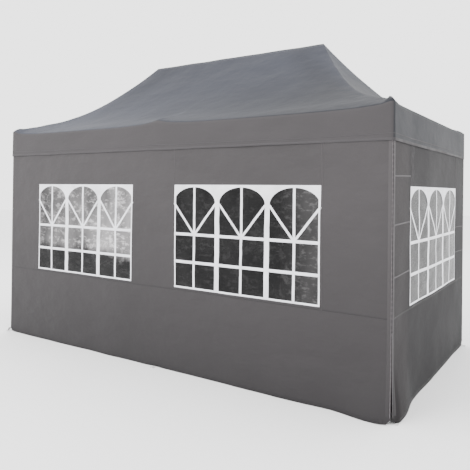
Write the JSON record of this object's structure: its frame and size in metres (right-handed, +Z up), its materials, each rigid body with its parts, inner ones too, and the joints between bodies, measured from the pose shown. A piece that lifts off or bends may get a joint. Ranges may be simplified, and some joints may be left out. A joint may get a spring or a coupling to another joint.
{
  "type": "pop-up party tent",
  "caption": "Rectangular pop-up party tent: telescopic legs, folding scissor frame, two-peak fabric roof, side walls with arched clear windows and an end door.",
  "frame": {"origin": "floor level under the middle of the tent's bounding box", "axes": "+X along the tent's length towards the walled end, -Y the long front with the windows seen in the picture, +Z up"},
  "size_m": [5.228, 2.704, 3.54],
  "materials": {
    "frame_tube": "satin powder coat",
    "frame_bar": "satin powder coat",
    "bracket": "moulded",
    "roof_fabric": "coated woven polyester",
    "wall_fabric": "coated woven polyester with clear printed windows"
  },
  "bodies": {
    "leg_front_middle": {"leg_front_middle": "frame_tube", "canopy": "roof_fabric", "front_wall": "wall_fabric"},
    "slider_front_middle": {"slider_front_middle": "bracket"},
    "lower_leg_front_middle": {"lower_leg_front_middle": "frame_tube"},
    "leg_front_right": {"leg_front_right": "frame_tube"},
    "slider_front_right": {"slider_front_right": "bracket"},
    "lower_leg_front_right": {"lower_leg_front_right": "frame_tube"},
    "leg_front_left": {"leg_front_left": "frame_tube"},
    "slider_front_left": {"slider_front_left": "bracket"},
    "lower_leg_front_left": {"lower_leg_front_left": "frame_tube"},
    "leg_back_right": {"leg_back_right": "frame_tube"},
    "slider_back_right": {"slider_back_right": "bracket"},
    "lower_leg_back_right": {"lower_leg_back_right": "frame_tube"},
    "leg_back_left": {"leg_back_left": "frame_tube"},
    "slider_back_left": {"slider_back_left": "bracket"},
    "lower_leg_back_left": {"lower_leg_back_left": "frame_tube"},
    "leg_back_middle": {"leg_back_middle": "frame_tube", "back_wall": "wall_fabric"},
    "slider_back_middle": {"slider_back_middle": "bracket"},
    "lower_leg_back_middle": {"lower_leg_back_middle": "frame_tube"},
    "end_hub_right": {"end_hub_right": "bracket", "right_wall": "wall_fabric"},
    "end_hub_left": {"end_hub_left": "bracket"},
    "peak_post_right": {"peak_post_right": "frame_bar"},
    "peak_post_left": {"peak_post_left": "frame_bar"},
    "door_flap_front": {"door_flap_front": "wall_fabric"},
    "door_flap_back": {"door_flap_back": "wall_fabric"},
    "bar_front_right_1": {"bar_front_right_1": "frame_bar"},
    "bar_front_right_2": {"bar_front_right_2": "frame_bar"},
    "bar_front_right_3": {"bar_front_right_3": "frame_bar"},
    "bar_front_right_4": {"bar_front_right_4": "frame_bar"},
    "bar_front_left_1": {"bar_front_left_1": "frame_bar"},
    "bar_front_left_2": {"bar_front_left_2": "frame_bar"},
    "bar_front_left_3": {"bar_front_left_3": "frame_bar"},
    "bar_front_left_4": {"bar_front_left_4": "frame_bar"},
    "bar_end_right_1": {"bar_end_right_1": "frame_bar"},
    "bar_end_right_2": {"bar_end_right_2": "frame_bar"},
    "bar_end_right_3": {"bar_end_right_3": "frame_bar"},
    "bar_end_right_4": {"bar_end_right_4": "frame_bar"},
    "bar_end_left_1": {"bar_end_left_1": "frame_bar"},
    "bar_end_left_2": {"bar_end_left_2": "frame_bar"},
    "bar_end_left_3": {"bar_end_left_3": "frame_bar"},
    "bar_end_left_4": {"bar_end_left_4": "frame_bar"},
    "bar_back_right_1": {"bar_back_right_1": "frame_bar"},
    "bar_back_right_2": {"bar_back_right_2": "frame_bar"},
    "bar_back_right_3": {"bar_back_right_3": "frame_bar"},
    "bar_back_right_4": {"bar_back_right_4": "frame_bar"},
    "bar_back_left_1": {"bar_back_left_1": "frame_bar"},
    "bar_back_left_2": {"bar_back_left_2": "frame_bar"},
    "bar_back_left_3": {"bar_back_left_3": "frame_bar"},
    "bar_back_left_4": {"bar_back_left_4": "frame_bar"},
    "bar_ridge_right_1": {"bar_ridge_right_1": "frame_bar"},
    "bar_ridge_right_2": {"bar_ridge_right_2": "frame_bar"},
    "bar_ridge_right_3": {"bar_ridge_right_3": "frame_bar"},
    "bar_ridge_right_4": {"bar_ridge_right_4": "frame_bar"},
    "bar_ridge_left_1": {"bar_ridge_left_1": "frame_bar"},
    "bar_ridge_left_2": {"bar_ridge_left_2": "frame_bar"},
    "bar_ridge_left_3": {"bar_ridge_left_3": "frame_bar"},
    "bar_ridge_left_4": {"bar_ridge_left_4": "frame_bar"}
  },
  "joints": [
    {"name": "fold", "type": "hinge", "parent": "leg_front_middle", "child": "bar_front_right_1", "pos_m": [0.045, -1.262, 2.5], "axis": [0, 1, 0], "range_deg": [0, 64], "deforming": ["canopy", "front_wall", "back_wall", "right_wall", "door_flap_front", "door_flap_back"]},
    {"name": "bar_front_right_2_cross", "type": "hinge", "parent": "bar_front_right_1", "child": "bar_front_right_2", "pos_m": [0.6535, -1.262, 2.29], "axis": [0, 1, 0], "range_deg": [-128, 0]},
    {"name": "bar_front_right_4_joint", "type": "hinge", "parent": "bar_front_right_1", "child": "bar_front_right_4", "pos_m": [1.262, -1.262, 2.08], "axis": [0, 1, 0], "range_deg": [-128, 0]},
    {"name": "bar_front_right_3_cross", "type": "hinge", "parent": "bar_front_right_4", "child": "bar_front_right_3", "pos_m": [1.8705, -1.262, 2.29], "axis": [0, 1, 0], "range_deg": [0, 128]},
    {"name": "leg_front_right_carry", "type": "hinge", "parent": "bar_front_right_4", "child": "leg_front_right", "pos_m": [2.479, -1.262, 2.5], "axis": [0, 1, 0], "range_deg": [0, 64]},
    {"name": "slider_front_middle_pull", "type": "hinge", "parent": "bar_front_right_2", "child": "slider_front_middle", "pos_m": [0.045, -1.262, 2.08], "axis": [0, 1, 0], "range_deg": [0, 64]},
    {"name": "bar_front_left_1_swing", "type": "hinge", "parent": "leg_front_middle", "child": "bar_front_left_1", "pos_m": [-0.045, -1.262, 2.5], "axis": [0, -1, 0], "range_deg": [0, 64]},
    {"name": "bar_front_left_2_cross", "type": "hinge", "parent": "bar_front_left_1", "child": "bar_front_left_2", "pos_m": [-0.6535, -1.262, 2.29], "axis": [0, -1, 0], "range_deg": [-128, 0]},
    {"name": "bar_front_left_4_joint", "type": "hinge", "parent": "bar_front_left_1", "child": "bar_front_left_4", "pos_m": [-1.262, -1.262, 2.08], "axis": [0, -1, 0], "range_deg": [-128, 0]},
    {"name": "bar_front_left_3_cross", "type": "hinge", "parent": "bar_front_left_4", "child": "bar_front_left_3", "pos_m": [-1.8705, -1.262, 2.29], "axis": [0, -1, 0], "range_deg": [0, 128]},
    {"name": "leg_front_left_carry", "type": "hinge", "parent": "bar_front_left_4", "child": "leg_front_left", "pos_m": [-2.479, -1.262, 2.5], "axis": [0, -1, 0], "range_deg": [0, 64]},
    {"name": "bar_end_right_1_swing", "type": "hinge", "parent": "leg_front_right", "child": "bar_end_right_1", "pos_m": [2.524, -1.217, 2.5], "axis": [-1, 0, 0], "range_deg": [0, 64]},
    {"name": "bar_end_right_2_cross", "type": "hinge", "parent": "bar_end_right_1", "child": "bar_end_right_2", "pos_m": [2.524, -0.6085, 2.29], "axis": [-1, 0, 0], "range_deg": [-128, 0]},
    {"name": "bar_end_right_4_joint", "type": "hinge", "parent": "bar_end_right_1", "child": "bar_end_right_4", "pos_m": [2.524, 0, 2.08], "axis": [-1, 0, 0], "range_deg": [-128, 0]},
    {"name": "bar_end_right_3_cross", "type": "hinge", "parent": "bar_end_right_4", "child": "bar_end_right_3", "pos_m": [2.524, 0.6085, 2.29], "axis": [-1, 0, 0], "range_deg": [0, 128]},
    {"name": "leg_back_right_carry", "type": "hinge", "parent": "bar_end_right_4", "child": "leg_back_right", "pos_m": [2.524, 1.217, 2.5], "axis": [-1, 0, 0], "range_deg": [0, 64]},
    {"name": "slider_front_right_pull", "type": "hinge", "parent": "bar_end_right_2", "child": "slider_front_right", "pos_m": [2.524, -1.217, 2.08], "axis": [-1, 0, 0], "range_deg": [0, 64]},
    {"name": "bar_end_left_1_swing", "type": "hinge", "parent": "leg_front_left", "child": "bar_end_left_1", "pos_m": [-2.524, -1.217, 2.5], "axis": [-1, 0, 0], "range_deg": [0, 64]},
    {"name": "bar_end_left_2_cross", "type": "hinge", "parent": "bar_end_left_1", "child": "bar_end_left_2", "pos_m": [-2.524, -0.6085, 2.29], "axis": [-1, 0, 0], "range_deg": [-128, 0]},
    {"name": "bar_end_left_4_joint", "type": "hinge", "parent": "bar_end_left_1", "child": "bar_end_left_4", "pos_m": [-2.524, 0, 2.08], "axis": [-1, 0, 0], "range_deg": [-128, 0]},
    {"name": "bar_end_left_3_cross", "type": "hinge", "parent": "bar_end_left_4", "child": "bar_end_left_3", "pos_m": [-2.524, 0.6085, 2.29], "axis": [-1, 0, 0], "range_deg": [0, 128]},
    {"name": "leg_back_left_carry", "type": "hinge", "parent": "bar_end_left_4", "child": "leg_back_left", "pos_m": [-2.524, 1.217, 2.5], "axis": [-1, 0, 0], "range_deg": [0, 64]},
    {"name": "slider_front_left_pull", "type": "hinge", "parent": "bar_end_left_2", "child": "slider_front_left", "pos_m": [-2.524, -1.217, 2.08], "axis": [-1, 0, 0], "range_deg": [0, 64]},
    {"name": "bar_back_right_1_swing", "type": "hinge", "parent": "leg_back_right", "child": "bar_back_right_1", "pos_m": [2.479, 1.262, 2.5], "axis": [0, -1, 0], "range_deg": [0, 64]},
    {"name": "bar_back_right_2_cross", "type": "hinge", "parent": "bar_back_right_1", "child": "bar_back_right_2", "pos_m": [1.8705, 1.262, 2.29], "axis": [0, -1, 0], "range_deg": [-128, 0]},
    {"name": "bar_back_right_4_joint", "type": "hinge", "parent": "bar_back_right_1", "child": "bar_back_right_4", "pos_m": [1.262, 1.262, 2.08], "axis": [0, -1, 0], "range_deg": [-128, 0]},
    {"name": "bar_back_right_3_cross", "type": "hinge", "parent": "bar_back_right_4", "child": "bar_back_right_3", "pos_m": [0.6535, 1.262, 2.29], "axis": [0, -1, 0], "range_deg": [0, 128]},
    {"name": "leg_back_middle_carry", "type": "hinge", "parent": "bar_back_right_4", "child": "leg_back_middle", "pos_m": [0.045, 1.262, 2.5], "axis": [0, -1, 0], "range_deg": [0, 64]},
    {"name": "slider_back_right_pull", "type": "hinge", "parent": "bar_back_right_2", "child": "slider_back_right", "pos_m": [2.479, 1.262, 2.08], "axis": [0, -1, 0], "range_deg": [0, 64]},
    {"name": "bar_back_left_1_swing", "type": "hinge", "parent": "leg_back_left", "child": "bar_back_left_1", "pos_m": [-2.479, 1.262, 2.5], "axis": [0, 1, 0], "range_deg": [0, 64]},
    {"name": "bar_back_left_2_cross", "type": "hinge", "parent": "bar_back_left_1", "child": "bar_back_left_2", "pos_m": [-1.8705, 1.262, 2.29], "axis": [0, 1, 0], "range_deg": [-128, 0]},
    {"name": "bar_back_left_4_joint", "type": "hinge", "parent": "bar_back_left_1", "child": "bar_back_left_4", "pos_m": [-1.262, 1.262, 2.08], "axis": [0, 1, 0], "range_deg": [-128, 0]},
    {"name": "bar_back_left_3_cross", "type": "hinge", "parent": "bar_back_left_4", "child": "bar_back_left_3", "pos_m": [-0.6535, 1.262, 2.29], "axis": [0, 1, 0], "range_deg": [0, 128]},
    {"name": "slider_back_left_pull", "type": "hinge", "parent": "bar_back_left_2", "child": "slider_back_left", "pos_m": [-2.479, 1.262, 2.08], "axis": [0, 1, 0], "range_deg": [0, 64]},
    {"name": "slider_back_middle_pull", "type": "hinge", "parent": "bar_back_right_3", "child": "slider_back_middle", "pos_m": [0.045, 1.262, 2.08], "axis": [0, -1, 0], "range_deg": [-64, 0]},
    {"name": "end_hub_right_carry", "type": "hinge", "parent": "bar_end_right_2", "child": "end_hub_right", "pos_m": [2.524, 0, 2.5], "axis": [-1, 0, 0], "range_deg": [0, 64]},
    {"name": "bar_ridge_right_1_swing", "type": "hinge", "parent": "end_hub_right", "child": "bar_ridge_right_1", "pos_m": [2.434, 0, 2.5], "axis": [0, -1, 0], "range_deg": [0, 64]},
    {"name": "bar_ridge_right_2_cross", "type": "hinge", "parent": "bar_ridge_right_1", "child": "bar_ridge_right_2", "pos_m": [1.8255, 0, 2.29], "axis": [0, -1, 0], "range_deg": [-128, 0]},
    {"name": "bar_ridge_right_4_joint", "type": "hinge", "parent": "bar_ridge_right_1", "child": "bar_ridge_right_4", "pos_m": [1.217, 0, 2.08], "axis": [0, -1, 0], "range_deg": [-128, 0]},
    {"name": "bar_ridge_right_3_cross", "type": "hinge", "parent": "bar_ridge_right_4", "child": "bar_ridge_right_3", "pos_m": [0.6085, 0, 2.29], "axis": [0, -1, 0], "range_deg": [0, 128]},
    {"name": "peak_post_right_carry", "type": "hinge", "parent": "bar_ridge_right_1", "child": "peak_post_right", "pos_m": [1.217, 0, 2.08], "axis": [0, -1, 0], "range_deg": [-64, 0]},
    {"name": "end_hub_left_carry", "type": "hinge", "parent": "bar_end_left_2", "child": "end_hub_left", "pos_m": [-2.524, 0, 2.5], "axis": [-1, 0, 0], "range_deg": [0, 64]},
    {"name": "bar_ridge_left_1_swing", "type": "hinge", "parent": "end_hub_left", "child": "bar_ridge_left_1", "pos_m": [-2.434, 0, 2.5], "axis": [0, 1, 0], "range_deg": [0, 64]},
    {"name": "bar_ridge_left_2_cross", "type": "hinge", "parent": "bar_ridge_left_1", "child": "bar_ridge_left_2", "pos_m": [-1.8255, 0, 2.29], "axis": [0, 1, 0], "range_deg": [-128, 0]},
    {"name": "bar_ridge_left_4_joint", "type": "hinge", "parent": "bar_ridge_left_1", "child": "bar_ridge_left_4", "pos_m": [-1.217, 0, 2.08], "axis": [0, 1, 0], "range_deg": [-128, 0]},
    {"name": "bar_ridge_left_3_cross", "type": "hinge", "parent": "bar_ridge_left_4", "child": "bar_ridge_left_3", "pos_m": [-0.6085, 0, 2.29], "axis": [0, 1, 0], "range_deg": [0, 128]},
    {"name": "peak_post_left_carry", "type": "hinge", "parent": "bar_ridge_left_1", "child": "peak_post_left", "pos_m": [-1.217, 0, 2.08], "axis": [0, 1, 0], "range_deg": [-64, 0]},
    {"name": "leg_height_front_middle", "type": "slide", "parent": "leg_front_middle", "child": "lower_leg_front_middle", "axis": [0, 0, 1], "range_m": [0, 0.9]},
    {"name": "leg_height_front_right", "type": "slide", "parent": "leg_front_right", "child": "lower_leg_front_right", "axis": [0, 0, 1], "range_m": [0, 0.9]},
    {"name": "leg_height_front_left", "type": "slide", "parent": "leg_front_left", "child": "lower_leg_front_left", "axis": [0, 0, 1], "range_m": [0, 0.9]},
    {"name": "leg_height_back_right", "type": "slide", "parent": "leg_back_right", "child": "lower_leg_back_right", "axis": [0, 0, 1], "range_m": [0, 0.9]},
    {"name": "leg_height_back_left", "type": "slide", "parent": "leg_back_left", "child": "lower_leg_back_left", "axis": [0, 0, 1], "range_m": [0, 0.9]},
    {"name": "leg_height_back_middle", "type": "slide", "parent": "leg_back_middle", "child": "lower_leg_back_middle", "axis": [0, 0, 1], "range_m": [0, 0.9]},
    {"name": "door_swing_front", "type": "hinge", "parent": "leg_front_left", "child": "door_flap_front", "pos_m": [-2.563, -1.299, 0], "axis": [0, 0, 1], "range_deg": [0, 110]},
    {"name": "door_swing_back", "type": "hinge", "parent": "leg_back_left", "child": "door_flap_back", "pos_m": [-2.563, 1.299, 0], "axis": [0, 0, 1], "range_deg": [-110, 0]}
  ],
  "couplings": [
    {"joint": "bar_front_right_2_cross", "follows": "fold", "ratio": -2},
    {"joint": "bar_front_right_4_joint", "follows": "fold", "ratio": -2},
    {"joint": "bar_front_right_3_cross", "follows": "fold", "ratio": 2},
    {"joint": "leg_front_right_carry", "follows": "fold", "ratio": 1},
    {"joint": "slider_front_middle_pull", "follows": "fold", "ratio": 1},
    {"joint": "bar_front_left_1_swing", "follows": "fold", "ratio": 1},
    {"joint": "bar_front_left_2_cross", "follows": "fold", "ratio": -2},
    {"joint": "bar_front_left_4_joint", "follows": "fold", "ratio": -2},
    {"joint": "bar_front_left_3_cross", "follows": "fold", "ratio": 2},
    {"joint": "leg_front_left_carry", "follows": "fold", "ratio": 1},
    {"joint": "bar_end_right_1_swing", "follows": "fold", "ratio": 1},
    {"joint": "bar_end_right_2_cross", "follows": "fold", "ratio": -2},
    {"joint": "bar_end_right_4_joint", "follows": "fold", "ratio": -2},
    {"joint": "bar_end_right_3_cross", "follows": "fold", "ratio": 2},
    {"joint": "leg_back_right_carry", "follows": "fold", "ratio": 1},
    {"joint": "slider_front_right_pull", "follows": "fold", "ratio": 1},
    {"joint": "bar_end_left_1_swing", "follows": "fold", "ratio": 1},
    {"joint": "bar_end_left_2_cross", "follows": "fold", "ratio": -2},
    {"joint": "bar_end_left_4_joint", "follows": "fold", "ratio": -2},
    {"joint": "bar_end_left_3_cross", "follows": "fold", "ratio": 2},
    {"joint": "leg_back_left_carry", "follows": "fold", "ratio": 1},
    {"joint": "slider_front_left_pull", "follows": "fold", "ratio": 1},
    {"joint": "bar_back_right_1_swing", "follows": "fold", "ratio": 1},
    {"joint": "bar_back_right_2_cross", "follows": "fold", "ratio": -2},
    {"joint": "bar_back_right_4_joint", "follows": "fold", "ratio": -2},
    {"joint": "bar_back_right_3_cross", "follows": "fold", "ratio": 2},
    {"joint": "leg_back_middle_carry", "follows": "fold", "ratio": 1},
    {"joint": "slider_back_right_pull", "follows": "fold", "ratio": 1},
    {"joint": "bar_back_left_1_swing", "follows": "fold", "ratio": 1},
    {"joint": "bar_back_left_2_cross", "follows": "fold", "ratio": -2},
    {"joint": "bar_back_left_4_joint", "follows": "fold", "ratio": -2},
    {"joint": "bar_back_left_3_cross", "follows": "fold", "ratio": 2},
    {"joint": "slider_back_left_pull", "follows": "fold", "ratio": 1},
    {"joint": "slider_back_middle_pull", "follows": "fold", "ratio": -1},
    {"joint": "end_hub_right_carry", "follows": "fold", "ratio": 1},
    {"joint": "bar_ridge_right_1_swing", "follows": "fold", "ratio": 1},
    {"joint": "bar_ridge_right_2_cross", "follows": "fold", "ratio": -2},
    {"joint": "bar_ridge_right_4_joint", "follows": "fold", "ratio": -2},
    {"joint": "bar_ridge_right_3_cross", "follows": "fold", "ratio": 2},
    {"joint": "peak_post_right_carry", "follows": "fold", "ratio": -1},
    {"joint": "end_hub_left_carry", "follows": "fold", "ratio": 1},
    {"joint": "bar_ridge_left_1_swing", "follows": "fold", "ratio": 1},
    {"joint": "bar_ridge_left_2_cross", "follows": "fold", "ratio": -2},
    {"joint": "bar_ridge_left_4_joint", "follows": "fold", "ratio": -2},
    {"joint": "bar_ridge_left_3_cross", "follows": "fold", "ratio": 2},
    {"joint": "peak_post_left_carry", "follows": "fold", "ratio": -1}
  ]
}
